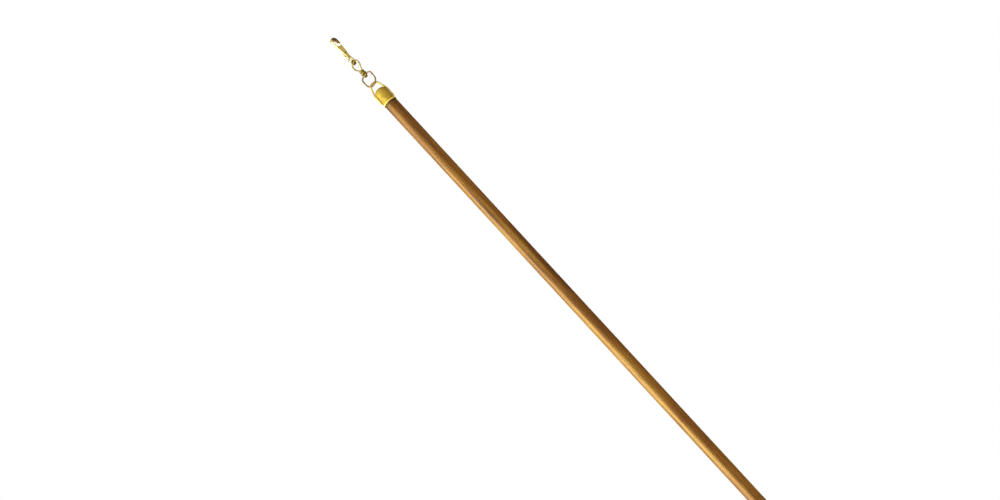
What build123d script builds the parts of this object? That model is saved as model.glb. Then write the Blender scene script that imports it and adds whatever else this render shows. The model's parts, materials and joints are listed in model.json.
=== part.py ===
"""Drapery baton: a long wooden draw wand that hangs from a curtain carrier by a brass swivel snap.

From the top down: a lever snap hook, a swivel eye, a swivel ring, a wire bail hinged on a brass end
cap, a wooden rod, and a turned handle. The baton hangs straight down, along -Z. The origin is the
centre of the hook's round bow, the hook lies in the XZ plane and its gate faces +X. Millimetres.
"""

from build123d import *
from math import cos, radians, sin
import os

os.makedirs("parts", exist_ok=True)

# ---- driving dimensions -------------------------------------------------------------------------
OVERALL_LENGTH = 914.4          # a 36 inch baton, from the top of the hook to the tip of the handle
ROD_D = 12.7                    # half inch dowel
HANDLE_LENGTH = 112.0

# Headings of the hanging links: the angle about Z from the hook's plane to each link's plane.
EYE_HEADING = -85.0
RING_HEADING = -71.0
BAIL_HEADING = -31.0

RUNNING = 0.06                  # radial clearance of a pin that turns
GLUE_LINE = 0.10                # radial clearance of a glued tenon
LINK_GAP = 0.15                 # clearance between two links, or a link and its washer

# Snap hook, in its own plane
BOW_R = 2.2                     # inner radius of the bow, centred on the origin
BOW_OUTER_R = 3.5
BOW_RISE = 1.7                  # the outer arc's centre stands this far above the inner one's
HOOK_TOP = BOW_RISE + BOW_OUTER_R
EYE_FLOOR_Z = -5.0              # bottom of the hook's opening
TIP_Z, TIP_T = -2.9, 0.6        # the bow's free end, where it laps over the gate
LAP_Z = -1.3
SNAP_HALF_T = 1.3               # half the body's thickness
CHANNEL_HALF = 0.85             # half the gap between the two cheeks
WALL = 0.5                      # sheet thickness
SPINE_X = -3.1                  # outer face of the spine, at the bottom of the opening
CHEEK_X = 2.95                  # open edge of the cheeks, there too
PIVOT_X, PIVOT_Z = 0.3, -13.6
PIVOT_PIN_R = 0.5
WAIST_Z, WAIST_HALF = -18.6, 1.6
BACK_X = 1.9                    # inner face of the back plate, where it meets the foot
BACK_T = 0.7
FOOT_TOP_Z, FOOT_T = -23.7, 1.0
FOOT_Z = FOOT_TOP_Z - FOOT_T
FOOT_X = -2.0                   # free end of the foot
GATE_X = 2.5                    # middle of the gate's thickness
LEVER_T = 0.6
LEVER_HALF = CHANNEL_HALF - 0.1
TAB_HALF = 1.55                 # half width of the thumb tab
EDGE_ROUND = 0.22               # rounding of the body's outer edges
PIN_CLEARANCE = 0.03            # radial clearance of a pin in a hole it doesn't turn in

# Swivels
WASHER_T = 0.3
STUD_R = 0.75
STUD_TOP_R, STUD_TOP_H = 1.15, 0.2   # the stud's low head inside the snap
HEAD_A_R, HEAD_A_H = 1.9, 1.7
HEAD_B_R, HEAD_B_H = 1.6, 1.5
HEAD_FLAT = 0.7                 # height of a stud head's straight side, below it the head is domed
LINK_BAR_T = 1.6                # thickness of the pierced bar at the top of each link
WIRE_R = 0.7                    # eye and ring wire

EYE_BAR_Z = FOOT_Z - WASHER_T - LINK_GAP - LINK_BAR_T / 2
HEAD_A_TOP = EYE_BAR_Z - LINK_BAR_T / 2 - LINK_GAP
BARREL_TOP = -36.5
BARREL_RIB_1, BARREL_RIB_2 = 1.9, 2.6
BARREL_Z = BARREL_TOP - BARREL_RIB_1 - BARREL_RIB_2
BARREL_R = 2.75
EYE_STUB_X, EYE_STUB_DEPTH = 1.55, 2.9
EYE_HALF_W = 4.7                # half width of the eye, wire centre to axis

RING_BAR_Z = BARREL_Z - WASHER_T - LINK_GAP - LINK_BAR_T / 2
HEAD_B_TOP = RING_BAR_Z - LINK_BAR_T / 2 - LINK_GAP
RING_HALF_W = 6.2
RING_HEIGHT = 12.3
RING_BOTTOM_Z = RING_BAR_Z - RING_HEIGHT

# Bail, cap and rod
BAIL_WIRE_R = 0.8
BAIL_TOP_Z = RING_BOTTOM_Z + WIRE_R + BAIL_WIRE_R + LINK_GAP
CAP_TOP_Z = BAIL_TOP_Z - 8.15
CAP_R = 5.9
CAP_WALL = 0.55
CAP_SHOULDER_R = 3.2
TRUNNION_Z = BAIL_TOP_Z - 21.55
RIM_BOTTOM_Z = TRUNNION_Z - 3.6
RIM_R = 7.0
RIM_BEAD_R = 0.8
BAIL_SIDE_GAP = 0.20            # between the bail's legs and the cap
BAIL_HALF_W = CAP_R + BAIL_SIDE_GAP + BAIL_WIRE_R
TRUNNION_INNER = 3.4            # the bail's ends reach this close to the axis, inside the tenon
TENON_R = CAP_R - CAP_WALL - GLUE_LINE
ROD_R = ROD_D / 2
MOUTH_R = ROD_R + 0.08          # the cap's mouth, round the rod
RIM_FOOT_R = ROD_R + 0.35       # the rolled rim's lower edge
MOUTH_DEPTH = 1.5               # the rod's shoulder sits this deep inside the cap's rim
ROD_SHOULDER_Z = RIM_BOTTOM_Z + MOUTH_DEPTH

# Handle
HANDLE_TIP_Z = HOOK_TOP - OVERALL_LENGTH
HANDLE_TOP_Z = HANDLE_TIP_Z + HANDLE_LENGTH
SOCKET_DEPTH = 16.0
ROD_BOTTOM_Z = HANDLE_TOP_Z - SOCKET_DEPTH
SCREW_R, SCREW_CORE_R = 3.0, 2.2
SCREW_PITCH = 2.4
SCREW_HALF = 18.0               # the dowel screw reaches this far into the rod and into the handle
BUTTON_R = 7.9
BUTTON_H = 6.4
BUTTON_TENON_R, BUTTON_TENON_L = 3.5, 9.0
BUTTON_TOP_Z = HANDLE_TIP_Z + BUTTON_H


def link_plane(heading, z=0.0):
    """A vertical plane through the axis: local x runs along the heading, local y is up."""
    a = radians(heading)
    return Plane(origin=(0, 0, z), x_dir=(cos(a), sin(a), 0), z_dir=(sin(a), -cos(a), 0))


def dome_radius(half_width, rise):
    """The radius of a spherical cap of the given half width and rise."""
    return (half_width ** 2 + rise ** 2) / (2 * rise)


def save(piece, name):
    """Labels a finished piece and writes it as its own STEP file."""
    piece.part.label = name
    export_step(piece.part, f"parts/{name}.step")


# ---- snap body: formed sheet brass, a bow on a channel that ends in a pierced foot ----------------
# One outline in the hook's plane gives the bow, the two cheeks and the foot. The channel cut then
# leaves a spine behind the upper half, a back plate behind the lower half, and the lever's way through.
with BuildPart() as snap_body:
    with BuildSketch(Plane.XZ):
        with BuildLine():
            ThreePointArc((-BOW_OUTER_R, BOW_RISE), (0, HOOK_TOP), (BOW_OUTER_R, BOW_RISE))
            Polyline((BOW_OUTER_R, BOW_RISE), (BOW_OUTER_R, TIP_Z), (BOW_OUTER_R - TIP_T, TIP_Z),
                     (BOW_OUTER_R - TIP_T, LAP_Z), (BOW_R, LAP_Z), (BOW_R, 0))
            ThreePointArc((BOW_R, 0), (0, BOW_R), (-BOW_R, 0))
            Polyline((-BOW_R, 0), (-BOW_R, EYE_FLOOR_Z + 0.8), (-BOW_R + 0.8, EYE_FLOOR_Z),
                     (CHEEK_X, EYE_FLOOR_Z), (CHEEK_X, EYE_FLOOR_Z - 2.4), (WAIST_HALF, WAIST_Z),
                     (BACK_X + BACK_T, FOOT_TOP_Z + 0.6), (BACK_X + BACK_T, FOOT_Z),
                     (FOOT_X, FOOT_Z), (FOOT_X, FOOT_TOP_Z), (BACK_X - 0.4, FOOT_TOP_Z),
                     (WAIST_HALF - WALL, WAIST_Z - 1.6), (-WAIST_HALF, WAIST_Z),
                     (SPINE_X, EYE_FLOOR_Z - 1.6), (-BOW_OUTER_R, BOW_RISE))
        make_face()
    extrude(amount=SNAP_HALF_T, both=True)
    outer_edges = snap_body.edges().filter_by(
        lambda edge: abs(abs(edge.center().Y) - SNAP_HALF_T) < 1e-3
    )
    fillet(outer_edges, radius=EDGE_ROUND)
    # the lever's way: open at +X above the pivot and at -X below it
    with BuildSketch(Plane.XZ):
        with BuildLine():
            Polyline((-1.0, EYE_FLOOR_Z + 1.2), (SPINE_X + WALL, EYE_FLOOR_Z - 1.1),
                     (SPINE_X + WALL, EYE_FLOOR_Z - 2.8), (-2.0, PIVOT_Z + 0.3),
                     (-6.0, PIVOT_Z - 1.2), (-6.0, FOOT_TOP_Z + 0.3),
                     (BACK_X - 0.9, FOOT_TOP_Z + 0.2), (BACK_X - 0.4, FOOT_TOP_Z),
                     (BACK_X, FOOT_TOP_Z), (BACK_X, FOOT_TOP_Z + 0.9),
                     (WAIST_HALF - WALL, WAIST_Z), (WAIST_HALF - 0.05, WAIST_Z + 3.2),
                     (6.0, WAIST_Z + 4.2), (6.0, EYE_FLOOR_Z + 1.2), close=True)
        make_face()
    extrude(amount=CHANNEL_HALF, both=True, mode=Mode.SUBTRACT)
    with BuildSketch(Plane.XZ):
        with Locations((PIVOT_X, PIVOT_Z)):
            Circle(PIVOT_PIN_R + PIN_CLEARANCE)
    extrude(amount=SNAP_HALF_T, both=True, mode=Mode.SUBTRACT)
    with BuildSketch(Plane.XY.offset(FOOT_Z)):
        Circle(STUD_R + PIN_CLEARANCE)
    extrude(amount=FOOT_T, mode=Mode.SUBTRACT)
save(snap_body, "snap_body")

# ---- snap lever: the gate above its pivot and the flared thumb tab below it ------------------------
TAB_TOP = (-1.25, WAIST_Z - 1.5)
with BuildPart() as snap_lever:
    with BuildSketch(Plane.XZ):
        with BuildLine():
            FilletPolyline((GATE_X, LAP_Z - 0.4), (GATE_X, EYE_FLOOR_Z - 2.4),
                           (PIVOT_X + 0.3, PIVOT_Z), (-1.15, WAIST_Z + 0.7), TAB_TOP, radius=1.2)
        trace(line_width=LEVER_T)
        with Locations((PIVOT_X, PIVOT_Z)):
            Circle(1.15)
    extrude(amount=LEVER_HALF, both=True)
    with BuildSketch(Plane.XZ):
        with BuildLine():
            FilletPolyline((-1.2, WAIST_Z - 1.3), (-1.45, WAIST_Z - 2.2), (-2.1, WAIST_Z - 3.1),
                           (-2.95, WAIST_Z - 4.0), radius=1.0)
        trace(line_width=LEVER_T)
    extrude(amount=TAB_HALF, both=True)
    with BuildSketch(Plane.XZ):
        with Locations((PIVOT_X, PIVOT_Z)):
            Circle(PIVOT_PIN_R + RUNNING)
    extrude(amount=LEVER_HALF, both=True, mode=Mode.SUBTRACT)
save(snap_lever, "snap_lever")

# ---- lever pin: a rivet across the cheeks with a low domed head each side --------------------------
with BuildPart() as lever_pin:
    with BuildSketch(Plane.XZ):
        with Locations((PIVOT_X, PIVOT_Z)):
            Circle(PIVOT_PIN_R)
    extrude(amount=SNAP_HALF_T, both=True)
    for side in (1, -1):
        face = Plane(origin=(PIVOT_X, side * SNAP_HALF_T, PIVOT_Z), z_dir=(0, side, 0))
        with BuildSketch(face):
            Circle(0.95)
        extrude(amount=0.4, taper=35)
save(lever_pin, "lever_pin")

# ---- lever spring: a bent leaf from the back plate to the lever's lower arm ------------------------
with BuildPart() as lever_spring:
    with BuildSketch(Plane.XZ):
        with BuildLine():
            FilletPolyline((1.30, WAIST_Z + 2.2), (0.95, WAIST_Z + 0.2), (0.55, WAIST_Z - 1.0),
                           (-0.60, WAIST_Z - 0.6), radius=0.35)
        trace(line_width=0.18)
    extrude(amount=0.6, both=True)
save(lever_spring, "lever_spring")

# ---- snap stud: the swivel rivet in the foot, its head inside the eye ------------------------------
with BuildPart() as snap_stud:
    with BuildSketch(Plane.XZ):
        with BuildLine():
            Polyline((0, FOOT_TOP_Z + STUD_TOP_H), (STUD_TOP_R - 0.3, FOOT_TOP_Z + STUD_TOP_H),
                     (STUD_TOP_R, FOOT_TOP_Z), (STUD_R, FOOT_TOP_Z), (STUD_R, HEAD_A_TOP),
                     (HEAD_A_R, HEAD_A_TOP), (HEAD_A_R, HEAD_A_TOP - HEAD_FLAT))
            RadiusArc((HEAD_A_R, HEAD_A_TOP - HEAD_FLAT), (0, HEAD_A_TOP - HEAD_A_H),
                      dome_radius(HEAD_A_R, HEAD_A_H - HEAD_FLAT))
            Line((0, HEAD_A_TOP - HEAD_A_H), (0, FOOT_TOP_Z + STUD_TOP_H))
        make_face()
    revolve(axis=Axis.Z)
save(snap_stud, "snap_stud")

# ---- washers: one under the foot, one under the eye's barrel ---------------------------------------
for name, top_z, radius in (("foot_washer", FOOT_Z, 1.9), ("barrel_washer", BARREL_Z, 2.1)):
    with BuildPart() as washer:
        with BuildSketch(Plane.XY.offset(top_z)):
            Circle(radius)
            Circle(STUD_R + PIN_CLEARANCE, mode=Mode.SUBTRACT)
        extrude(amount=-WASHER_T)
        fillet(washer.edges().filter_by(GeomType.CIRCLE).group_by(SortBy.RADIUS)[-1], 0.1)
    save(washer, name)


def flat_plane(heading, z):
    """A horizontal plane at height z whose local x runs along the heading."""
    a = radians(heading)
    return Plane(origin=(0, 0, z), x_dir=(cos(a), sin(a), 0), z_dir=(0, 0, 1))


def pierced_bar(heading, z, half_length, half_width):
    """The flattened bar at the top of a link, with the swivel stud's hole through it."""
    with BuildPart() as bar:
        with BuildSketch(flat_plane(heading, z)):
            SlotOverall(2 * half_length, 2 * half_width)
            Circle(STUD_R + RUNNING, mode=Mode.SUBTRACT)
        extrude(amount=LINK_BAR_T / 2, both=True)
        top, bottom = bar.faces().sort_by(Axis.Z)[-1], bar.faces().sort_by(Axis.Z)[0]
        fillet(top.outer_wire().edges() + bottom.outer_wire().edges(), radius=0.5)
    return bar.part


# ---- swivel eye: a wire loop, wide at its bar and drawn in to two stubs in the barrel --------------
EYE_PLANE = link_plane(EYE_HEADING)
eye_bar = pierced_bar(EYE_HEADING, EYE_BAR_Z, 2.9, 1.45)
with BuildPart() as swivel_eye:
    for side in (1, -1):
        with BuildLine(EYE_PLANE) as strand:
            FilletPolyline(
                (side * 2.2, EYE_BAR_Z), (side * EYE_HALF_W, EYE_BAR_Z),
                (side * (EYE_HALF_W + 0.1), EYE_BAR_Z - 5.2),
                (side * EYE_STUB_X, BARREL_TOP + 0.7),
                (side * EYE_STUB_X, BARREL_TOP - EYE_STUB_DEPTH),
                radius=(2.2, 2.6, 1.1),
            )
        with BuildSketch(Plane(origin=strand.line @ 0, z_dir=strand.line % 0)):
            Circle(WIRE_R)
        sweep(path=strand.line)
    add(eye_bar)
save(swivel_eye, "swivel_eye")

# ---- barrel: the ribbed sleeve that clamps the eye's two stubs and carries the ring's stud ---------
with BuildPart() as eye_barrel:
    with BuildSketch(Plane.XZ):
        with BuildLine():
            rib_1_z = BARREL_TOP - BARREL_RIB_1
            Polyline((0, BARREL_TOP), (2.05, BARREL_TOP))
            ThreePointArc((2.05, BARREL_TOP), (2.5, BARREL_TOP - 0.8), (2.15, rib_1_z))
            ThreePointArc((2.15, rib_1_z), (BARREL_R, rib_1_z - 1.1), (2.35, BARREL_Z))
            Polyline((2.35, BARREL_Z), (0, BARREL_Z), (0, BARREL_TOP))
        make_face()
    revolve(axis=Axis.Z)
    with BuildSketch(flat_plane(EYE_HEADING, BARREL_TOP)):
        with Locations((EYE_STUB_X, 0), (-EYE_STUB_X, 0)):
            Circle(WIRE_R + 0.02)
    extrude(amount=-(EYE_STUB_DEPTH + 0.05), mode=Mode.SUBTRACT)
    with BuildSketch(Plane.XY.offset(BARREL_TOP)):
        Circle(STUD_R + 0.02)
    extrude(amount=-(BARREL_TOP - BARREL_Z), mode=Mode.SUBTRACT)
save(eye_barrel, "eye_barrel")

# ---- ring stud: pressed in the barrel, its domed head inside the ring ------------------------------
with BuildPart() as ring_stud:
    with BuildSketch(Plane.XZ):
        with BuildLine():
            Polyline((0, BARREL_TOP + 0.25), (STUD_R - 0.2, BARREL_TOP + 0.25),
                     (STUD_R, BARREL_TOP), (STUD_R, HEAD_B_TOP), (HEAD_B_R, HEAD_B_TOP),
                     (HEAD_B_R, HEAD_B_TOP - HEAD_FLAT))
            RadiusArc((HEAD_B_R, HEAD_B_TOP - HEAD_FLAT), (0, HEAD_B_TOP - HEAD_B_H),
                      dome_radius(HEAD_B_R, HEAD_B_H - HEAD_FLAT))
            Line((0, HEAD_B_TOP - HEAD_B_H), (0, BARREL_TOP + 0.25))
        make_face()
    revolve(axis=Axis.Z)
save(ring_stud, "ring_stud")

# ---- swivel ring: a D of wire hung from its pierced bar --------------------------------------------
RING_PLANE = link_plane(RING_HEADING)
ring_bar = pierced_bar(RING_HEADING, RING_BAR_Z, 3.0, 1.45)
with BuildPart() as swivel_ring:
    with BuildLine(RING_PLANE) as loop:
        FilletPolyline(
            (-2.4, RING_BAR_Z), (-RING_HALF_W, RING_BAR_Z), (-RING_HALF_W, RING_BOTTOM_Z),
            (RING_HALF_W, RING_BOTTOM_Z), (RING_HALF_W, RING_BAR_Z), (2.4, RING_BAR_Z),
            radius=(2.9, 5.7, 5.7, 2.9),
        )
    with BuildSketch(Plane(origin=loop.line @ 0, z_dir=loop.line % 0)):
        Circle(WIRE_R)
    sweep(path=loop.line)
    add(ring_bar)
save(swivel_ring, "swivel_ring")

# ---- bail: a wire stirrup whose inturned ends pivot in the cap ------------------------------------
BAIL_PLANE = link_plane(BAIL_HEADING)
BAIL_KNEE_Z = TRUNNION_Z + 10.6
BAIL_ARCH_HALF = 3.1
BAIL_ELBOW_R = 0.95
with BuildPart() as bail:
    with BuildLine(BAIL_PLANE) as stirrup:
        FilletPolyline(
            (-TRUNNION_INNER, TRUNNION_Z), (-BAIL_HALF_W, TRUNNION_Z),
            (-BAIL_HALF_W, BAIL_KNEE_Z), (-BAIL_ARCH_HALF, BAIL_TOP_Z),
            (BAIL_ARCH_HALF, BAIL_TOP_Z), (BAIL_HALF_W, BAIL_KNEE_Z),
            (BAIL_HALF_W, TRUNNION_Z), (TRUNNION_INNER, TRUNNION_Z),
            radius=(BAIL_ELBOW_R, 9.0, 2.6, 2.6, 9.0, BAIL_ELBOW_R),
        )
    with BuildSketch(Plane(origin=stirrup.line @ 0, z_dir=stirrup.line % 0)):
        Circle(BAIL_WIRE_R)
    sweep(path=stirrup.line)
save(bail, "bail")

# ---- end cap: a drawn brass thimble with a rolled rim ----------------------------------------------
CAP_IN_R = CAP_R - CAP_WALL
RIM_TOP_Z = RIM_BOTTOM_Z + 2 * RIM_BEAD_R
with BuildPart() as end_cap:
    with BuildSketch(Plane.XZ):
        with BuildLine():
            flat_r = CAP_R - CAP_SHOULDER_R
            Line((0, CAP_TOP_Z), (flat_r, CAP_TOP_Z - 0.25))
            RadiusArc((flat_r, CAP_TOP_Z - 0.25), (CAP_R, CAP_TOP_Z - 3.6), CAP_SHOULDER_R + 0.15)
            Polyline((CAP_R, CAP_TOP_Z - 3.6), (CAP_R, RIM_TOP_Z + 0.5),
                     (RIM_R - RIM_BEAD_R, RIM_TOP_Z))
            ThreePointArc((RIM_R - RIM_BEAD_R, RIM_TOP_Z), (RIM_R, RIM_TOP_Z - RIM_BEAD_R),
                          (RIM_FOOT_R, RIM_BOTTOM_Z))
            Polyline((RIM_FOOT_R, RIM_BOTTOM_Z), (MOUTH_R, RIM_BOTTOM_Z),
                     (MOUTH_R, ROD_SHOULDER_Z), (CAP_IN_R, ROD_SHOULDER_Z),
                     (CAP_IN_R, CAP_TOP_Z - 3.6))
            RadiusArc((CAP_IN_R, CAP_TOP_Z - 3.6), (flat_r, CAP_TOP_Z - 0.25 - CAP_WALL),
                      -(CAP_SHOULDER_R - CAP_WALL + 0.15))
            Polyline((flat_r, CAP_TOP_Z - 0.25 - CAP_WALL), (0, CAP_TOP_Z - CAP_WALL),
                     (0, CAP_TOP_Z))
        make_face()
    revolve(axis=Axis.Z)
    with BuildSketch(link_plane(BAIL_HEADING - 90)):
        with Locations((0, TRUNNION_Z)):
            Circle(BAIL_WIRE_R + RUNNING)
    extrude(amount=CAP_R + 1, both=True, mode=Mode.SUBTRACT)
save(end_cap, "end_cap")

# ---- rod: a wooden dowel, tenoned for the cap and bored for the dowel screw -----------------------
TENON_TOP_Z = CAP_TOP_Z - CAP_WALL - 3.2
with BuildPart() as rod:
    with BuildSketch(Plane.XY.offset(ROD_BOTTOM_Z)):
        Circle(ROD_R)
    extrude(amount=ROD_SHOULDER_Z - 0.05 - ROD_BOTTOM_Z)
    with BuildSketch(Plane.XY.offset(ROD_SHOULDER_Z - 0.05)):
        Circle(TENON_R)
    extrude(amount=TENON_TOP_Z - ROD_SHOULDER_Z)
    chamfer(rod.edges().group_by(Axis.Z)[-1], 0.6)
    with BuildSketch(link_plane(BAIL_HEADING - 90)):
        with Locations((0, TRUNNION_Z)):
            Circle(BAIL_WIRE_R + RUNNING)
    extrude(amount=CAP_R, both=True, mode=Mode.SUBTRACT)
    with BuildSketch(Plane.XY.offset(ROD_BOTTOM_Z)):
        Circle(SCREW_R)
    extrude(amount=SCREW_HALF + 0.5, mode=Mode.SUBTRACT)
save(rod, "rod")

# ---- dowel screw: a double-ended wood screw that joins the rod to the handle ----------------------
with BuildPart() as dowel_screw:
    with BuildSketch(Plane.XY.offset(ROD_BOTTOM_Z - SCREW_HALF)):
        Circle(SCREW_CORE_R)
    extrude(amount=2 * SCREW_HALF)
    chamfer(dowel_screw.edges().filter_by(GeomType.CIRCLE), 1.2)
    with BuildSketch(Plane.XZ):
        thread_count = int((SCREW_HALF - 3.0) / SCREW_PITCH)
        for turn in range(1, thread_count + 1):
            for side in (1, -1):
                z = ROD_BOTTOM_Z + side * turn * SCREW_PITCH
                with BuildLine():
                    Polyline((SCREW_CORE_R - 0.2, z + 0.7), (SCREW_R - 0.02, z + 0.1),
                             (SCREW_R - 0.02, z - 0.1), (SCREW_CORE_R - 0.2, z - 0.7), close=True)
                make_face()
    revolve(axis=Axis.Z)
save(dowel_screw, "dowel_screw")

# ---- handle: one turned piece, collar rings, vase, neck and bulb ----------------------------------


def down(r, t):
    """A point of the handle's profile: radius r, and t below the handle's top."""
    return (r, HANDLE_TOP_Z - t)


BULB_R = 16.1
VASE_R = 15.1
NECK_R = 7.5
with BuildPart() as handle:
    with BuildSketch(Plane.XZ):
        with BuildLine():
            Line(down(0, 0), down(ROD_R + 0.3, 0))
            # lip round the rod, upper collar ring and lower collar ring
            ThreePointArc(down(ROD_R + 0.3, 0), down(7.6, 0.35), down(7.9, 1.3))
            Line(down(7.9, 1.3), down(8.5, 1.75))
            ThreePointArc(down(8.5, 1.75), down(12.0, 3.2), down(12.1, 6.4))
            Line(down(12.1, 6.4), down(12.7, 6.9))
            ThreePointArc(down(12.7, 6.9), down(15.35, 11.6), down(12.9, 18.2))
            Line(down(12.9, 18.2), down(12.0, 19.7))
            Line(down(12.0, 19.7), down(12.6, 20.4))
            # vase, neck and bulb, flowing into one another
            Spline(down(12.6, 20.4), down(14.7, 26.0), down(VASE_R, 33.0), down(13.6, 43.0),
                   down(10.5, 55.5), down(NECK_R, 69.0), tangents=((0.5, -1), (-0.12, -1)))
            Spline(down(NECK_R, 69.0), down(9.0, 73.6), down(13.4, 77.2), down(BULB_R, 85.4),
                   tangents=((-0.12, -1), (0, -1)))
            Spline(down(BULB_R, 85.4), down(14.8, 95.3), down(8.2, HANDLE_LENGTH - BUTTON_H),
                   tangents=((0, -1), (-1, -0.8)))
            Polyline(down(8.2, HANDLE_LENGTH - BUTTON_H), down(0, HANDLE_LENGTH - BUTTON_H),
                     down(0, 0))
        make_face()
    revolve(axis=Axis.Z)
    with BuildSketch(Plane.XY.offset(HANDLE_TOP_Z)):
        Circle(ROD_R + GLUE_LINE)
    extrude(amount=-SOCKET_DEPTH - 0.05, mode=Mode.SUBTRACT)
    with BuildSketch(Plane.XY.offset(ROD_BOTTOM_Z)):
        Circle(SCREW_R)
    extrude(amount=-(SCREW_HALF + 0.5), mode=Mode.SUBTRACT)
    with BuildSketch(Plane.XY.offset(BUTTON_TOP_Z)):
        Circle(BUTTON_TENON_R + 0.05)
    extrude(amount=BUTTON_TENON_L + 0.3, mode=Mode.SUBTRACT)
save(handle, "handle")

# ---- end button: a small turned plug in the end of the bulb ---------------------------------------
with BuildPart() as end_button:
    with BuildSketch(Plane.XZ):
        with BuildLine():
            Polyline((0, BUTTON_TOP_Z + BUTTON_TENON_L),
                     (BUTTON_TENON_R - 0.6, BUTTON_TOP_Z + BUTTON_TENON_L),
                     (BUTTON_TENON_R, BUTTON_TOP_Z + BUTTON_TENON_L - 0.6),
                     (BUTTON_TENON_R, BUTTON_TOP_Z - 0.05), (BUTTON_R - 0.6, BUTTON_TOP_Z - 0.05))
            ThreePointArc((BUTTON_R - 0.6, BUTTON_TOP_Z - 0.05), (BUTTON_R, BUTTON_TOP_Z - 1.2),
                          (BUTTON_R - 0.9, BUTTON_TOP_Z - 2.6))
            Spline((BUTTON_R - 0.9, BUTTON_TOP_Z - 2.6), (4.3, BUTTON_TOP_Z - 5.3),
                   (0, HANDLE_TIP_Z), tangents=((-0.3, -1), (-1, 0)))
            Line((0, HANDLE_TIP_Z), (0, BUTTON_TOP_Z + BUTTON_TENON_L))
        make_face()
    revolve(axis=Axis.Z)
save(end_button, "end_button")
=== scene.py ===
import json
import math
from functools import partial

import bpy
from mathutils import Matrix, Vector


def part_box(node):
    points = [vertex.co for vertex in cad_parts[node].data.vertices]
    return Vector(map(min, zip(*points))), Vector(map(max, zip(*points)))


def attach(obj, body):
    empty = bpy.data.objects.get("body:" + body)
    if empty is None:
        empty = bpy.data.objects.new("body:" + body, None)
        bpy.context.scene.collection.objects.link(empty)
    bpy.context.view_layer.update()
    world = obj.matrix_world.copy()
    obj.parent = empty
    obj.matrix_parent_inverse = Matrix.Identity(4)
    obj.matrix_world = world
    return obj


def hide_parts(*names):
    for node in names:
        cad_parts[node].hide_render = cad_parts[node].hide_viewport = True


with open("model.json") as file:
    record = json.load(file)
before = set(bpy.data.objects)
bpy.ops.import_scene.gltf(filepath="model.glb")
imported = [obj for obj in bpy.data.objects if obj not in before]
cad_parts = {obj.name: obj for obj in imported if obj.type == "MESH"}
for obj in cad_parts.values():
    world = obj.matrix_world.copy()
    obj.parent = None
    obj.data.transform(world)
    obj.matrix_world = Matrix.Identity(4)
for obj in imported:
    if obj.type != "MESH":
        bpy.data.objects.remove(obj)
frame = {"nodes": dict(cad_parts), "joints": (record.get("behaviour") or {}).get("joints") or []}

MM = 0.001
UP = Vector((0, 0, 1))
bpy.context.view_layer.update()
nodes = frame["nodes"]
scene = bpy.context.scene

# ---- directions, all from the frame ----------------------------------------------------------------
VIEW_HEADING = math.radians(-43.0)      # from the hook's plane to the picture's plane
across = Vector((math.cos(VIEW_HEADING), math.sin(VIEW_HEADING), 0))    # the picture's left to right
ahead = UP.cross(across)                # level, away from the camera
hook_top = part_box("snap_body")[1].z
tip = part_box("end_button")[0].z


def face(obj, place, direction, top):
    """Puts a camera or a light at place, looking along direction, with its upper edge towards top."""
    right = direction.cross(top).normalized()
    upright = right.cross(direction).normalized()
    columns = (right, upright, -direction.normalized(), place)
    obj.matrix_world = Matrix([[column[row] for column in columns] for row in range(3)]).to_4x4()
    obj.location = place


# ---- camera: below the hook, looking up, and rolled so that the rod runs down to the right ---------
TILT = math.radians(19.0)           # how far the camera looks up
ROLL = math.radians(42.65)          # how far the rod leans in the picture
DISTANCE = 12.0
LENS = 482.7
CLIP_END = 60.0
AIM_DROP = 0.25674                  # the picture's centre is this far below the top of the hook
AIM_SIDE = 0.01736                  # and this far to the left of the rod's axis


def make_camera():
    forward = ahead * math.cos(TILT) + UP * math.sin(TILT)
    level_top = UP * math.cos(TILT) - ahead * math.sin(TILT)
    aim = UP * (hook_top - AIM_DROP) - across * AIM_SIDE
    camera = bpy.data.objects.new("camera", bpy.data.cameras.new("camera"))
    scene.collection.objects.link(camera)
    camera.data.lens = LENS
    camera.data.clip_end = CLIP_END
    face(camera, aim - forward * DISTANCE, forward,
         level_top * math.cos(ROLL) + across * math.sin(ROLL))
    scene.camera = camera


# ---- studio: white surroundings, soft lights round the rod, a pale floor far below -----------------
FLOOR_DROP = 2.1                    # a curtain rail hangs the hook about this high
FLOOR_R = 3.0
FLOOR_GLOW = [(0.45, 0.32), (0.95, 0.92)]       # rises to white before the floor's edge
WORLD_RAMP = [(0.04, (0.06, 0.034, 0.016)), (0.19, (0.88, 0.72, 0.40)), (0.5, (0.88, 0.78, 0.54)),
              (0.8, (1.0, 1.0, 0.93))]          # mirrored colours, back right to front left
WORLD_PATCH = [(0.82, 1.0), (0.93, 0.06)]       # darkens what is mirrored near two opposite directions
WORLD_LIGHT = 0.19
LIGHTS = {
    # bearing in degrees; rise, distance, and width and height in metres; watts; colour
    "key_light": (-69, 0.22, 1.5, (1.25, 1.5), 33.0, (0.86, 1.0, 0.96)),
    "top_light": (-45, 1.5, 1.4, (0.7, 0.7), 4.0, (1.0, 1.0, 1.0)),
    "back_light": (178, 0.2, 1.6, (1.2, 1.6), 11.0, (1.0, 1.0, 1.0)),
    "side_light": (110, 0.0, 1.6, (0.9, 1.5), 8.0, (1.0, 0.78, 0.55)),
}


def softbox(name, bearing, rise, distance, size, power, colour):
    """An area light round the rod. bearing is in degrees, 0 at the camera's side and -90 at its left."""
    angle = math.radians(bearing)
    out = across * math.sin(angle) - ahead * math.cos(angle)
    middle = UP * ((hook_top + tip) / 2)
    light = bpy.data.objects.new(name, bpy.data.lights.new(name, "AREA"))
    scene.collection.objects.link(light)
    light.data.shape = "RECTANGLE"
    light.data.size, light.data.size_y = size
    light.data.energy = power
    light.data.color = colour
    place = middle + out * distance + UP * rise
    face(light, place, middle - place, UP)
    return light


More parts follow.
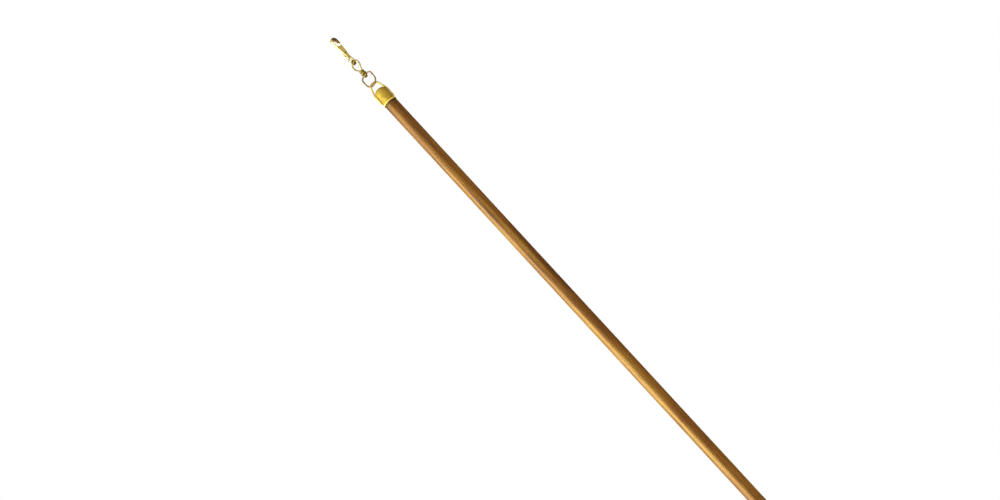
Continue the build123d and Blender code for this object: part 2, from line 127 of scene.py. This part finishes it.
def make_world():
    """White to the camera. As light it is faint, warm and even; in reflections it is bright from the
    front left, dark behind on the right, with two dark patches, up on the right and down on the left."""
    world = bpy.data.worlds.new("studio")
    scene.world = world
    world.use_nodes = True
    tree = world.node_tree
    tree.nodes.clear()

    add = partial(add_node, tree)
    rays = add("LightPath")
    way = add("TexCoord").outputs["Generated"]
    front_left = (-across * 0.64 - ahead * 0.77).normalized()
    facing = add("VectorMath", [(0, way), (1, front_left)], operation="DOT_PRODUCT").outputs["Value"]
    spread = add("MapRange", [("Value", facing), ("From Min", -1.0)]).outputs[0]
    around = add("ValToRGB", [("Fac", spread)])
    paint_ramp(around, WORLD_RAMP)
    patch_way = (across * 0.75 + UP).normalized()
    slant = add("VectorMath", [(0, way), (1, patch_way)], operation="DOT_PRODUCT").outputs["Value"]
    off_axis = add("Math", [(0, slant)], operation="ABSOLUTE").outputs[0]
    patch = add("ValToRGB", [("Fac", off_axis)])
    paint_ramp(patch, WORLD_PATCH)
    mirrored = add("Mix", [(0, 1.0), (6, around.outputs[0]), (7, patch.outputs[0])],
                   data_type="RGBA", blend_type="MULTIPLY").outputs[2]
    lit = add("Background", [("Color", (1.0, 0.93, 0.82, 1.0)), ("Strength", WORLD_LIGHT)])
    glossy = add("Background", [("Color", mirrored), ("Strength", 1.0)])
    shown = add("Background", [("Color", (1.0, 1.0, 1.0, 1.0)), ("Strength", 1.0)])
    either = add("MixShader", [(0, rays.outputs["Is Glossy Ray"]), (1, lit.outputs[0]),
                               (2, glossy.outputs[0])])
    seen = add("MixShader", [(0, rays.outputs["Is Camera Ray"]), (1, either.outputs[0]),
                             (2, shown.outputs[0])])
    add("OutputWorld", [("Surface", seen.outputs[0])])


def make_studio():
    scene.view_settings.view_transform = "Standard"
    make_world()
    lights = {name: softbox(name, *settings) for name, settings in LIGHTS.items()}
    lights["side_light"].visible_glossy = False     # it lifts the shaded side without a highlight
    bpy.ops.mesh.primitive_circle_add(vertices=96, radius=FLOOR_R, fill_type="NGON",
                                      location=(0, 0, hook_top - FLOOR_DROP))
    floor = bpy.context.object
    floor.name = "floor"
    plaster = Finish("floor_plaster")
    plaster.colour(plaster.noise(3.0, 3), [(0.3, (0.80, 0.79, 0.77)), (0.7, (0.86, 0.85, 0.83))])
    # painted light: the floor glows, more towards its edge, so that it fades into the white world
    out = plaster.add("VectorMath", [(0, plaster.place)], operation="LENGTH").outputs["Value"]
    share = plaster.sum((out, 1 / FLOOR_R))
    plaster.feed("Emission Strength", plaster.ramp(share, FLOOR_GLOW))
    plaster.set({"Roughness": 0.8, "Emission Color": (1.0, 0.98, 0.95, 1.0)})
    floor.data.materials.append(plaster.material)


# ---- materials -------------------------------------------------------------------------------------
def add_node(tree, kind, inputs=(), **settings):
    """A node of that kind, with its settings, and its inputs linked or set by (socket, value)."""
    node = tree.nodes.new("ShaderNode" + kind)
    for setting, value in settings.items():
        setattr(node, setting, value)
    for socket, value in inputs:
        if isinstance(value, bpy.types.NodeSocket):
            tree.links.new(value, node.inputs[socket])
        else:
            node.inputs[socket].default_value = value
    return node


def paint_ramp(ramp, stops):
    """Sets a colour ramp's stops from (position, colour), where a colour is a number or three."""
    elements = ramp.color_ramp.elements
    while len(elements) < len(stops):
        elements.new(0.5)
    for element, (position, colour) in zip(elements, stops):
        rgb = (colour,) * 3 if isinstance(colour, (int, float)) else colour
        element.position = position
        element.color = (*rgb, 1.0)


# dark brass, painted as shade on the snap and the eye
PAINTED_SHADE_BRASS = (0.100, 0.043, 0.006, 1.0)
# pale brass, painted as a highlight on the cap's bead
PAINTED_HIGHLIGHT_BRASS = (0.92, 0.73, 0.19, 1.0)
# the cap's shadow, painted on the rod just below it
CAP_SHADOW = (0.040, 0.010, 0.001, 1.0)
PORE_BROWN = (0.12, 0.034, 0.008, 1.0)


class Finish:
    """A procedural material: a Principled shader, and short calls for the nodes that feed it."""

    def __init__(self, name):
        self.material = bpy.data.materials.new(name)
        self.material.use_nodes = True
        self.tree = self.material.node_tree
        self.shader = self.tree.nodes["Principled BSDF"]
        self.add = partial(add_node, self.tree)
        self.place = self.add("TexCoord").outputs["Object"]

    def set(self, values):
        for socket, value in values.items():
            self.shader.inputs[socket].default_value = value

    def feed(self, socket, value):
        self.tree.links.new(value, self.shader.inputs[socket])

    def noise(self, scale, detail=2, roughness=0.5, stretch=(1, 1, 1)):
        """Noise of about scale features per metre, drawn out along an axis where stretch is small."""
        place = self.add("Mapping", [("Vector", self.place), ("Scale", stretch)]).outputs[0]
        return self.add("TexNoise", [("Vector", place), ("Scale", scale), ("Detail", detail),
                                     ("Roughness", roughness)]).outputs["Fac"]

    def attribute(self, name):
        return self.add("Attribute", attribute_name=name).outputs["Fac"]

    def ramp(self, value, stops):
        node = self.add("ValToRGB", [("Fac", value)])
        paint_ramp(node, stops)
        return node.outputs["Color"]

    def sum(self, *parts):
        """The sum of (value, share) pairs, as one number."""
        total = None
        for value, share in parts:
            inputs = [(0, value), (1, share), (2, 0.0 if total is None else total)]
            total = self.add("Math", inputs, operation="MULTIPLY_ADD").outputs[0]
        return total

    def span(self, value, middle, width):
        """A number that runs from 0 to 1 over a width that is centred on middle. A negative width
        runs it the other way."""
        return self.sum((value, 1 / width), (middle, -1 / width), (0.5, 1.0))

    def mix(self, share, first, second, blend="MIX"):
        inputs = [(0, share), (6, first), (7, second)]
        return self.add("Mix", inputs, data_type="RGBA", blend_type=blend).outputs[2]

    def colour(self, value, stops):
        self.feed("Base Color", self.ramp(value, stops))

    def relief(self, height, depth, strength=1.0):
        node = self.add("Bump", [("Height", height), ("Distance", depth), ("Strength", strength)])
        self.feed("Normal", node.outputs[0])


def brass(name, bright, deep, roughness, tarnish=0.5, painted_shade_mask=None, lighter_share=None):
    """Lacquered brass: a bright base, browner in patches, with drawn lines and small handling marks.
    Two optional masks: one paints dark brass over the rest as shade, the other pale brass as a
    highlight."""
    metal = Finish(name)
    patches = metal.noise(260, 4, 0.6)
    drawn = metal.noise(5200, 3, 0.6, (1, 1, 0.05))
    marks = metal.noise(1900, 5, 0.7)
    age = metal.sum((patches, 0.9), (marks, 0.5), (drawn, 0.25))
    tone = metal.ramp(age, [(0.95 - tarnish, bright), (1.12 - tarnish * 0.5, deep)])
    # painted shade, then a painted highlight, over the brass's own tone
    if painted_shade_mask:
        tone = metal.mix(painted_shade_mask(metal), tone, PAINTED_SHADE_BRASS)
    if lighter_share:
        tone = metal.mix(lighter_share(metal), tone, PAINTED_HIGHLIGHT_BRASS)
    metal.feed("Base Color", tone)
    rough = metal.sum((patches, 0.18), (marks, 0.16))
    spread = metal.ramp(rough, [(0.08, roughness * 0.7), (0.30, roughness * 1.5)])
    metal.feed("Roughness", spread)
    metal.relief(metal.sum((marks, 1.0), (drawn, 0.5)), 0.03 * MM, 0.5)
    metal.set({"Metallic": 1.0, "Coat Weight": 0.10, "Coat Roughness": 0.12})
    return metal.material


def steel(name, roughness):
    """Bare or plated steel with faint marks."""
    metal = Finish(name)
    marks = metal.noise(1600, 4, 0.6)
    metal.colour(marks, [(0.35, (0.42, 0.42, 0.43)), (0.65, (0.62, 0.61, 0.60))])
    metal.feed("Roughness", metal.ramp(marks, [(0.3, roughness * 0.8), (0.7, roughness * 1.3)]))
    metal.relief(marks, 0.02 * MM, 0.4)
    metal.set({"Metallic": 1.0})
    return metal.material


def rod_finish():
    """Stained wood under satin bronze lacquer: long soft streaks, fine grain and small dark pores. The
    crest attribute is low only in the painted shadow of the cap, just below it."""
    wood = Finish("rod_bronzed_wood")
    broad = wood.noise(260, 3, 0.55, (1, 1, 0.03))
    fine = wood.noise(1100, 4, 0.6, (1, 1, 0.02))
    cloud = wood.noise(90, 3, 0.5, (1, 1, 0.35))
    pores = wood.noise(2600, 2, 0.5, (1, 1, 0.035))
    tone = wood.sum((broad, 0.45), (fine, 0.35), (cloud, 0.14), (0.08, 1.0))
    stain = wood.ramp(tone, [(0.43, (0.105, 0.024, 0.001)), (0.52, (0.265, 0.086, 0.003)),
                             (0.59, (0.380, 0.155, 0.010)), (0.67, (0.490, 0.255, 0.036))])
    dark = wood.ramp(pores, [(0.60, 0.0), (0.70, 0.75)])
    porous = wood.mix(dark, stain, PORE_BROWN)
    # painted shadow of the cap on the rod, where the crest attribute is low
    clear = wood.ramp(wood.attribute("crest"), [(0.0, 0.0), (0.5, 1.0)])
    wood.feed("Base Color", wood.mix(clear, CAP_SHADOW, porous))
    wood.feed("Roughness", wood.ramp(fine, [(0.3, 0.34), (0.7, 0.46)]))
    grain = wood.sum((fine, 1.0), (pores, -0.7), (broad, 0.5))
    wood.relief(grain, 0.10 * MM, 0.5)
    wood.set({"Metallic": 0.22, "Specular IOR Level": 0.62, "Specular Tint": (1.0, 0.98, 0.76, 1.0),
              "Coat Weight": 0.0})
    return wood.material


def gilt_finish():
    """Antique gold rubbed over brown: worn gold on the crests, brown in the grooves and in patches."""
    gilt = Finish("handle_antique_gold")
    crest = gilt.attribute("crest")
    rubbed = gilt.noise(420, 5, 0.65, (1, 1, 0.55))
    flecks = gilt.noise(1500, 4, 0.7, (1, 1, 0.4))
    strokes = gilt.noise(900, 3, 0.6, (1, 1, 0.09))
    gold = gilt.sum((crest, 0.50), (rubbed, 0.62), (flecks, 0.42), (strokes, 0.34))
    share = gilt.sum((gold, 0.62), (-0.03, 1.0))
    leaf = gilt.ramp(share, [(0.38, (0.030, 0.010, 0.004)), (0.48, (0.120, 0.046, 0.008)),
                             (0.55, (0.250, 0.112, 0.018)), (0.64, (0.400, 0.220, 0.044)),
                             (0.74, (0.640, 0.430, 0.150))])
    gilt.feed("Base Color", leaf)
    gilt.feed("Metallic", gilt.ramp(share, [(0.42, 0.15), (0.68, 0.75)]))
    gilt.feed("Roughness", gilt.ramp(share, [(0.42, 0.55), (0.70, 0.38)]))
    gilt.relief(gilt.sum((rubbed, 0.6), (flecks, 0.5), (strokes, 0.5)), 0.20 * MM, 0.8)
    gilt.set({"Coat Weight": 0.10, "Coat Roughness": 0.25})
    return gilt.material


def button_finish():
    """Dark brown lacquered wood with a little gold left on it."""
    wood = Finish("button_dark_wood")
    grain = wood.noise(900, 4, 0.6, (1, 1, 0.3))
    wood.colour(grain, [(0.35, (0.022, 0.010, 0.006)), (0.60, (0.060, 0.026, 0.012)),
                        (0.75, (0.200, 0.100, 0.035))])
    wood.feed("Roughness", wood.ramp(grain, [(0.3, 0.32), (0.7, 0.48)]))
    wood.relief(grain, 0.08 * MM, 0.6)
    wood.set({"Coat Weight": 0.3, "Coat Roughness": 0.2})
    return wood.material


# ---- turned pieces ---------------------------------------------------------------------------------
def arc(first, middle, last, steps):
    """Points on the circle through three (radius, height) points, without the first one."""
    (ax, ay), (bx, by), (cx, cy) = first, middle, last
    d = 2 * (ax * (by - cy) + bx * (cy - ay) + cx * (ay - by))
    a2, b2, c2 = ax * ax + ay * ay, bx * bx + by * by, cx * cx + cy * cy
    ox = (a2 * (by - cy) + b2 * (cy - ay) + c2 * (ay - by)) / d
    oy = (a2 * (cx - bx) + b2 * (ax - cx) + c2 * (bx - ax)) / d
    start, via, end = (math.atan2(y - oy, x - ox) for x, y in (first, middle, last))
    turn = (end - start) % math.tau
    if (via - start) % math.tau > turn:
        turn -= math.tau
    radius = math.hypot(ax - ox, ay - oy)
    angles = [start + turn * step / steps for step in range(1, steps + 1)]
    return [(ox + radius * math.cos(angle), oy + radius * math.sin(angle)) for angle in angles]


def flow(points, start, end, steps):
    """A smooth curve through (radius, height) points, without the first one. start and end are the
    directions it leaves and arrives in."""
    knots = [Vector(point) for point in points]
    ways = [Vector(start).normalized()]
    ways += [(knots[i + 1] - knots[i - 1]).normalized() for i in range(1, len(knots) - 1)]
    ways += [Vector(end).normalized()]
    made = []
    for a, b, way_a, way_b in zip(knots, knots[1:], ways, ways[1:]):
        reach = (b - a).length
        for step in range(1, steps + 1):
            t = step / steps
            point = (a * (2 * t ** 3 - 3 * t ** 2 + 1) + way_a * reach * (t ** 3 - 2 * t ** 2 + t)
                     + b * (3 * t ** 2 - 2 * t ** 3) + way_b * reach * (t ** 3 - t ** 2))
            made.append((point.x, point.y))
    return made


SHARP_ANGLE = math.radians(38)


def turned(name, outline, sides, crest=None):
    """A closed mesh turned about Z from (radius, height) points, the first and last of them on the
    axis. crest gives each point's value of the attribute that its finish reads."""
    vertices, lighter_share, rings = [], [], []
    for index, (radius, height) in enumerate(outline):
        count = 1 if radius < 1e-6 else sides
        rings.append(range(len(vertices), len(vertices) + count))
        for side in range(count):
            angle = math.tau * side / count
            vertices.append((radius * math.cos(angle), radius * math.sin(angle), height))
            lighter_share.append(crest[index] if crest else 0.5)
    faces = []
    for upper, lower in zip(rings, rings[1:]):
        for side in range(sides):
            after = (side + 1) % sides
            corners = [upper[side % len(upper)], upper[after % len(upper)],
                       lower[after % len(lower)], lower[side % len(lower)]]
            faces.append(list(dict.fromkeys(corners)))
    mesh = bpy.data.meshes.new(name)
    mesh.from_pydata(vertices, [], faces)
    mesh.validate()
    mesh.shade_smooth()
    mesh.set_sharp_from_angle(angle=SHARP_ANGLE)
    share = mesh.attributes.new("crest", "FLOAT", "POINT")
    share.data.foreach_set("value", lighter_share)
    piece = bpy.data.objects.new(name, mesh)
    scene.collection.objects.link(piece)
    return piece


def fit_piece(piece, body, node, material):
    """Gives a new piece its material, its body and the CAD node it stands for."""
    piece.data.materials.append(material)
    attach(piece, body)
    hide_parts(node)


def cross_bore(piece, joint_name, radius, length):
    """Drills a round hole through a piece, along a joint's axis."""
    joint = next(joint for joint in frame["joints"] if joint["name"] == joint_name)
    turn = Vector(joint["axis"]).to_track_quat("Z", "Y").to_euler()
    bpy.ops.mesh.primitive_cylinder_add(vertices=32, radius=radius, depth=length,
                                        location=joint["pos_m"], rotation=turn)
    drill = bpy.context.object
    hole = piece.modifiers.new("cross_bore", "BOOLEAN")
    hole.object = drill
    graph = bpy.context.evaluated_depsgraph_get()
    drilled = bpy.data.meshes.new_from_object(piece.evaluated_get(graph))
    piece.modifiers.clear()
    piece.data = drilled
    bpy.data.objects.remove(drill)


# sizes in mm: the tenons, sockets and holes that the turned pieces share
SCREW_R = 3.0                       # round the dowel screw
ROD_HOLE = 18.5                     # the dowel screw's hole, in the rod and below the handle's socket
SOCKET_DEPTH = 16.0                 # the rod's depth in the handle
CAP_TENON_R = 5.1                   # the rod's tenon inside the cap
SHOULDER_DEPTH = 1.45               # the rod's shoulder, inside the cap's mouth
BAIL_BORE_R = 0.86                  # round the bail's ends, across the rod's tenon
BUTTON_HOLE = 9.3                   # the depth of the button's hole in the handle
BUTTON_HOLE_R = 3.55
BUTTON_TENON_R = 3.5
END_GAP = 0.05                      # between faces that meet
GLUE_GAP = 0.1                      # round the rod in the handle
TENON_EDGE = 0.6                    # the chamfer on a tenon's end
CAP_SHADE = [(1.1, 0.10), (2.4, 0.32), (8.0, 0.5)]      # painted shadow of the cap on the rod: (below the cap's mouth, crest there)


def make_rod():
    """The wooden dowel, with its tenon for the cap and its hole for the dowel screw."""
    low, high = (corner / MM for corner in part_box("rod"))
    radius = high.x
    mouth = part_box("end_cap")[0].z / MM
    shoulder = mouth + SHOULDER_DEPTH
    shoulder_edge = 0.3
    outline = [(0, high.z), (CAP_TENON_R - TENON_EDGE, high.z), (CAP_TENON_R, high.z - TENON_EDGE),
               (CAP_TENON_R, shoulder), (radius - shoulder_edge, shoulder),
               (radius, shoulder - shoulder_edge), (radius, mouth)]
    # the crest is 0 up to the cap's mouth and rises below it, for the cap's painted shadow on the rod
    crest = [0.0] * len(outline)
    for drop, clear in CAP_SHADE:
        outline.append((radius, mouth - drop))
        crest.append(clear)
    rings = 60
    start = outline[-1][1]
    run = start - low.z
    outline += [(radius, start - run * ring / rings) for ring in range(1, rings + 1)]
    outline += [(SCREW_R, low.z), (SCREW_R, low.z + ROD_HOLE), (0, low.z + ROD_HOLE)]
    crest += [crest[-1]] * (rings + 3)
    piece = turned("rod_dowel", [(r * MM, z * MM) for r, z in outline], 96, crest)
    cross_bore(piece, "cap_swing", BAIL_BORE_R * MM, 4 * radius * MM)
    fit_piece(piece, "wand", "rod", rod_finish())


def make_handle():
    """The turned handle, with the rod's socket and the holes for the screw and the button."""
    low, high = (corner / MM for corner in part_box("handle"))
    top, seat = high.z, low.z
    rod_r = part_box("rod")[1].x / MM
    bore = rod_r + GLUE_GAP
    floor = top - SOCKET_DEPTH
    mouth_r = rod_r + 0.35
    mouth_edge = 0.25
    bulb, vase, neck = high.x, 15.1, 7.5

    def at(radius, drop):
        """A point of the turned outline: its radius, and how far it is below the handle's top."""
        return radius, top - drop

    outline = [(0, floor - ROD_HOLE), (SCREW_R, floor - ROD_HOLE), (SCREW_R, floor - END_GAP),
               (bore, floor - END_GAP), (bore, top - mouth_edge), at(mouth_r, 0)]
    crest = [0.3] * len(outline)

    def run(points, shares):
        """Adds points to the outline, with their crest shares spread evenly between those given."""
        for index, point in enumerate(points):
            place = (index + 1) / len(points) * (len(shares) - 1)
            below = min(int(place), len(shares) - 2)
            outline.append(point)
            crest.append(shares[below] + (shares[below + 1] - shares[below]) * (place - below))

    # the lip, then the two collar rings with their grooves
    run(arc(at(mouth_r, 0), at(7.6, 0.35), at(7.9, 1.3), 6), [0.5, 0.9, 0.3])
    run([at(8.1, 1.72), at(8.5, 1.75)], [0.2, 0.05])
    run(arc(at(8.5, 1.75), at(12.0, 3.2), at(12.1, 6.4), 18), [0.05, 0.60, 0.75, 0.45, 0.2])
    run([at(12.15, 6.85), at(12.7, 6.9)], [0.0, 0.1])
    run(arc(at(12.7, 6.9), at(15.35, 11.6), at(12.9, 18.2), 30), [0.95, 0.6, 0.55, 0.5, 0.4, 0.1])
    run([at(12.1, 19.3), at(12.0, 19.7), at(12.6, 20.4)], [0.0, 0.1, 1.0])
    # the vase down to the neck
    run(flow([at(12.6, 20.4), at(14.7, 26.0), at(vase, 33.0), at(13.6, 43.0), at(10.5, 55.5),
              at(neck, 69.0)], (0.5, -1), (-0.12, -1), 14), [1.05, 0.5, 0.42, 0.40, 0.38, 0.36, 0.3])
    # the bulb's upper slope, its arris and its lower half
    run(flow([at(neck, 69.0), at(9.0, 73.6), at(13.4, 77.2), at(bulb, 85.4)],
             (-0.12, -1), (0.12, -1), 14), [0.3, 0.4, 0.6, 0.65, 0.65, 0.7, 1.05])
    run(flow([at(bulb, 85.4), at(14.8, 95.3), (8.2, seat)], (-0.05, -1), (-1, -0.8), 16),
        [1.05, 0.36, 0.32, 0.32, 0.32, 0.30, 0.3, 0.28, 0.2])
    hole_top = seat + BUTTON_HOLE
    run([(BUTTON_HOLE_R, seat), (BUTTON_HOLE_R, hole_top), (0, hole_top)], [0.1, 0.0])
    piece = turned("handle_turning", [(r * MM, z * MM) for r, z in outline], 160, crest)
    fit_piece(piece, "wand", "handle", gilt_finish())


def make_button():
    """The button in the handle's tip, with its tenon."""
    low, high = (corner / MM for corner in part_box("end_button"))
    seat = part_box("handle")[0].z / MM
    wide, rim = high.x, high.x - 0.6
    waist = (wide - 0.9, seat - 2.6)
    outline = [(0, high.z), (BUTTON_TENON_R - TENON_EDGE, high.z),
               (BUTTON_TENON_R, high.z - TENON_EDGE), (BUTTON_TENON_R, seat - END_GAP),
               (rim, seat - END_GAP)]
    outline += arc((rim, seat - END_GAP), (wide, seat - 1.2), waist, 8)
    outline += flow([waist, (4.3, seat - 5.3), (0, low.z)], (-0.3, -1), (-1, 0), 12)
    piece = turned("tip_button", [(r * MM, z * MM) for r, z in outline], 96)
    fit_piece(piece, "wand", "end_button", button_finish())


# ---- materials of the CAD nodes that stay ----------------------------------------------------------
# masks of painted shade and painted highlight, each a share from 0 to 1 over a brass node
def bow_painted_shade(metal):
    """Painted shade: full at the bow's top and nose and about half on the body's lower end and foot,
    with none on the spine and the channel between them."""
    x, _, z = metal.add("SeparateXYZ", [(0, metal.place)]).outputs
    bow_span = 20 * MM              # centred on the bow, which is round the frame's origin
    high = metal.ramp(metal.span(z, 0.0, bow_span), [(0.18, 0.0), (0.36, 1.0)])
    right = metal.ramp(metal.span(x, 0.0, bow_span), [(0.36, 0.0), (0.48, 1.0)])
    cloudy = metal.ramp(metal.noise(700, 4, 0.65), [(0.22, 0.70), (0.52, 1.0)])
    both = metal.mix(1.0, high, right, "MULTIPLY")
    foot_depth = 40 * MM            # the snap's body is all above this depth
    foot = metal.ramp(metal.sum((z, -1 / foot_depth)), [(0.42, 0.0), (0.52, 0.55)])
    return metal.mix(1.0, metal.mix(1.0, both, foot, "ADD"), cloudy, "MULTIPLY")


def bearing_painted_shade(metal):
    """Painted shade: full round the stud's hole in the eye's bar, fading out along the bar."""
    x, y, z = metal.add("SeparateXYZ", [(0, metal.place)]).outputs
    flat = metal.add("CombineXYZ", [("X", x), ("Y", y)]).outputs[0]
    out = metal.add("VectorMath", [(0, flat)], operation="LENGTH").outputs["Value"]
    reach, bar_depth = 4 * MM, 2 * MM
    near = metal.ramp(metal.sum((out, 1 / reach)), [(0.40, 1.0), (0.70, 0.0)])
    bar_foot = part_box("swivel_eye")[1].z - bar_depth
    high = metal.ramp(metal.span(z, bar_foot, bar_depth), [(0.3, 0.0), (0.5, 1.0)])
    return metal.mix(1.0, near, high, "MULTIPLY")


def bead_painted_highlight(metal):
    """A painted highlight: full on the bead round the cap's mouth."""
    bead_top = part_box("end_cap")[0].z + 1.7 * MM
    height = metal.add("SeparateXYZ", [(0, metal.place)]).outputs["Z"]
    return metal.ramp(metal.span(height, bead_top, -2 * MM), [(0.45, 0.0), (0.55, 1.0)])


def dress_nodes():
    """Gives the CAD nodes that stay their finishes."""
    # the snap's bow and foot get painted shade
    pale = brass("snap_pale_brass", (0.86, 0.81, 0.42), (0.66, 0.56, 0.21), 0.26, 0.42, bow_painted_shade)
    lever = brass("lever_pale_brass", (0.90, 0.86, 0.46), (0.70, 0.60, 0.22), 0.26, 0.42)
    # the eye's bar gets painted shade round the stud's hole
    eye = brass("eye_brass", (0.70, 0.60, 0.18), (0.30, 0.21, 0.04), 0.14, 0.55, bearing_painted_shade)
    ring = brass("ring_brass", (0.76, 0.60, 0.13), (0.17, 0.09, 0.02), 0.13, 0.62)
    # the cap's bead gets a painted highlight
    cap = brass("cap_brass", (0.64, 0.47, 0.085), (0.53, 0.37, 0.055), 0.74, 0.45, lighter_share=bead_painted_highlight)
    wire = brass("bail_brass", (0.90, 0.70, 0.16), (0.62, 0.43, 0.07), 0.34, 0.45)
    barrel = brass("barrel_brass", (0.50, 0.41, 0.12), (0.25, 0.18, 0.04), 0.28, 0.5)
    rivet = brass("rivet_brass", (0.34, 0.25, 0.08), (0.16, 0.10, 0.03), 0.32, 0.55)
    washer = brass("washer_bronze", (0.20, 0.14, 0.05), (0.08, 0.05, 0.02), 0.40, 0.5)
    spring = steel("spring_bright_steel", 0.25)
    plated = steel("screw_zinc_steel", 0.38)
    finishes = {
        "snap_body": pale, "snap_lever": lever, "lever_pin": rivet, "lever_spring": spring,
        "snap_stud": rivet, "foot_washer": washer, "swivel_eye": eye, "eye_barrel": barrel,
        "barrel_washer": washer, "ring_stud": rivet, "swivel_ring": ring, "bail": wire,
        "end_cap": cap, "dowel_screw": plated,
    }
    for name, material in finishes.items():
        nodes[name].material_slots[0].material = material


make_camera()
make_studio()
make_rod()
make_handle()
make_button()
dress_nodes()
